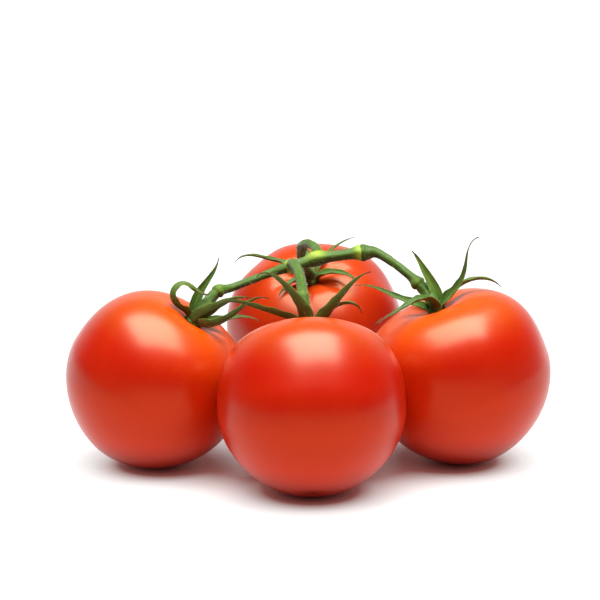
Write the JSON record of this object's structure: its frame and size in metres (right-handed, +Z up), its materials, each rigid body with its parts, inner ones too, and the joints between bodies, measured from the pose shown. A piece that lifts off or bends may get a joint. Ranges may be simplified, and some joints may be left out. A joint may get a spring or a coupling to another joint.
{
  "type": "truss of tomatoes",
  "caption": "Ripe round tomatoes resting on a table, joined by thin knuckled stalks to one short green vine, each with a star of narrow curling sepals.",
  "frame": {"origin": "middle of the bunch, on the surface it rests on", "axes": "+Z up; +X to the right of a viewer who faces the front fruit; +Y from the front fruit to the back fruit"},
  "size_m": [0.171, 0.1737, 0.0821],
  "materials": {
    "skin": "smooth waxy tomato skin, orange-red near the stalk",
    "stem": "green vine with fine pale hairs, yellow-green at the swellings",
    "sepal": "thin green leaf with pale edges and brown dried tips"
  },
  "bodies": {
    "root": {"front_fruit": "skin", "left_fruit": "skin", "right_fruit": "skin", "back_fruit": "skin", "main_stem": "stem", "front_stalk": "stem", "left_stalk": "stem", "right_stalk": "stem", "back_stalk": "stem", "front_sepal_1": "sepal", "front_sepal_2": "sepal", "front_sepal_3": "sepal", "front_sepal_4": "sepal", "front_sepal_5": "sepal", "left_sepal_1": "sepal", "left_sepal_2": "sepal", "left_sepal_3": "sepal", "left_sepal_4": "sepal", "left_sepal_5": "sepal", "right_sepal_1": "sepal", "right_sepal_2": "sepal", "right_sepal_3": "sepal", "right_sepal_4": "sepal", "right_sepal_5": "sepal", "back_sepal_1": "sepal", "back_sepal_2": "sepal", "back_sepal_3": "sepal", "back_sepal_4": "sepal", "back_sepal_5": "sepal"}
  },
  "joints": []
}
